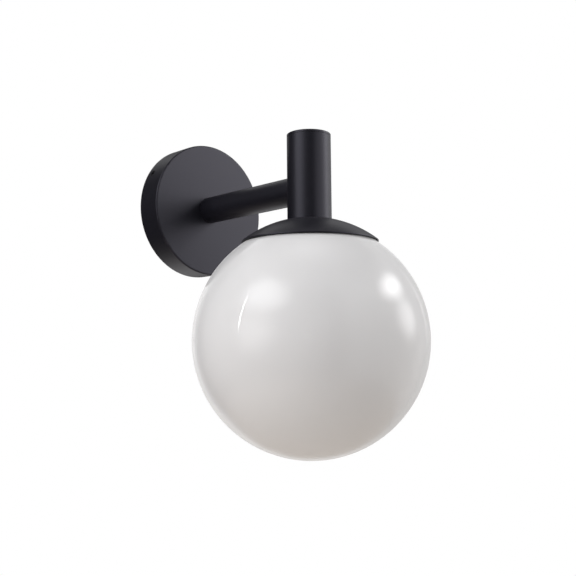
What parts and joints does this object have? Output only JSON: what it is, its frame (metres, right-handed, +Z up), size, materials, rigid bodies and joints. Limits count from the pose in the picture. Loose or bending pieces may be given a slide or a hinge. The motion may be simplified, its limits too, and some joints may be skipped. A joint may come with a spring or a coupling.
{
  "type": "globe wall sconce",
  "caption": "Wall light: round wall plate, straight arm, upright stem, domed cap and an opal glass globe that hangs below it over a screw-cap bulb",
  "frame": {"origin": "middle of the wall plate, on the wall's surface", "axes": "+Y points into the wall, +Z is up along the stem, +X is to the right for someone who faces the wall"},
  "size_m": [0.2, 0.2619, 0.2936],
  "materials": {
    "black_coat": "fine matt-satin black powder coat",
    "black_screw": "blackened steel, slightly glossy",
    "zinc_steel": "bright zinc plating, lightly brushed",
    "spring_steel": "blued spring steel",
    "brass": "bright turned and pressed brass",
    "tinned_copper": "dull tin plating",
    "tin_solder": "soft tin solder",
    "nickel": "nickel plating",
    "black_rubber": "matt black rubber",
    "black_silicone": "matt black silicone",
    "white_polyamide": "translucent-looking white polyamide",
    "black_phenolic": "pressed black phenolic",
    "white_porcelain": "glazed white porcelain",
    "black_glass": "black vitrified insulator",
    "white_plastic": "moulded white plastic",
    "frosted_plastic": "frosted white plastic",
    "light_board": "white-printed aluminium board",
    "yellow_chip": "yellow phosphor chip",
    "brown_wire": "brown insulation",
    "blue_wire": "blue insulation",
    "earth_wire": "green insulation with a yellow stripe",
    "opal_glass": "opal white glass under a clear glossy layer"
  },
  "bodies": {
    "wall_frame": {"wall_plate": "black_coat", "arm_tube": "black_coat", "stem_tube": "black_coat", "stem_cap": "black_coat", "dome_cap": "black_coat", "plate_screws": "black_screw", "wall_bracket": "zinc_steel", "supply_grommet": "black_rubber", "terminal_body": "white_polyamide", "terminal_inserts": "brass", "terminal_screws": "zinc_steel", "terminal_fixings": "zinc_steel", "earth_screw": "brass", "earth_terminal": "tinned_copper", "arm_root_plug": "zinc_steel", "arm_nipple": "zinc_steel", "arm_washer": "spring_steel", "arm_nut": "zinc_steel", "stem_bush": "zinc_steel", "dome_nipple": "zinc_steel", "dome_nut": "zinc_steel", "globe_gasket": "black_silicone", "gallery_plate": "zinc_steel", "gallery_springs": "spring_steel", "gallery_rivets": "zinc_steel", "holder_cap": "black_phenolic", "holder_body": "black_phenolic", "holder_insert": "white_porcelain", "holder_shell": "brass", "holder_contact": "brass", "holder_terminals": "brass", "holder_screws": "zinc_steel", "wire_live": "brown_wire", "wire_neutral": "blue_wire", "wire_earth": "earth_wire"},
    "globe": {"glass_globe": "opal_glass"},
    "bulb_carriage": {"bulb_contact": "tin_solder"},
    "bulb": {"bulb_insulator": "black_glass", "bulb_screw_cap": "nickel", "bulb_housing": "white_plastic", "bulb_diffuser": "frosted_plastic", "bulb_board": "light_board", "bulb_leds": "yellow_chip"}
  },
  "joints": [
    {"name": "globe_pull", "type": "slide", "parent": "wall_frame", "child": "globe", "axis": [0, 0, 1], "range_m": [-0.15, 0], "deforming": ["gallery_springs"]},
    {"name": "bulb_travel", "type": "slide", "parent": "wall_frame", "child": "bulb_carriage", "axis": [0, 0, 1], "range_m": [-0.0218, 0]},
    {"name": "bulb_turn", "type": "hinge", "parent": "bulb_carriage", "child": "bulb", "pos_m": [0, -0.162, -0.08], "axis": [0, 0, 1], "range_deg": [-2160, 0]}
  ],
  "couplings": [
    {"joint": "bulb_travel", "follows": "bulb_turn", "m_per_rad": 0.00057757}
  ]
}
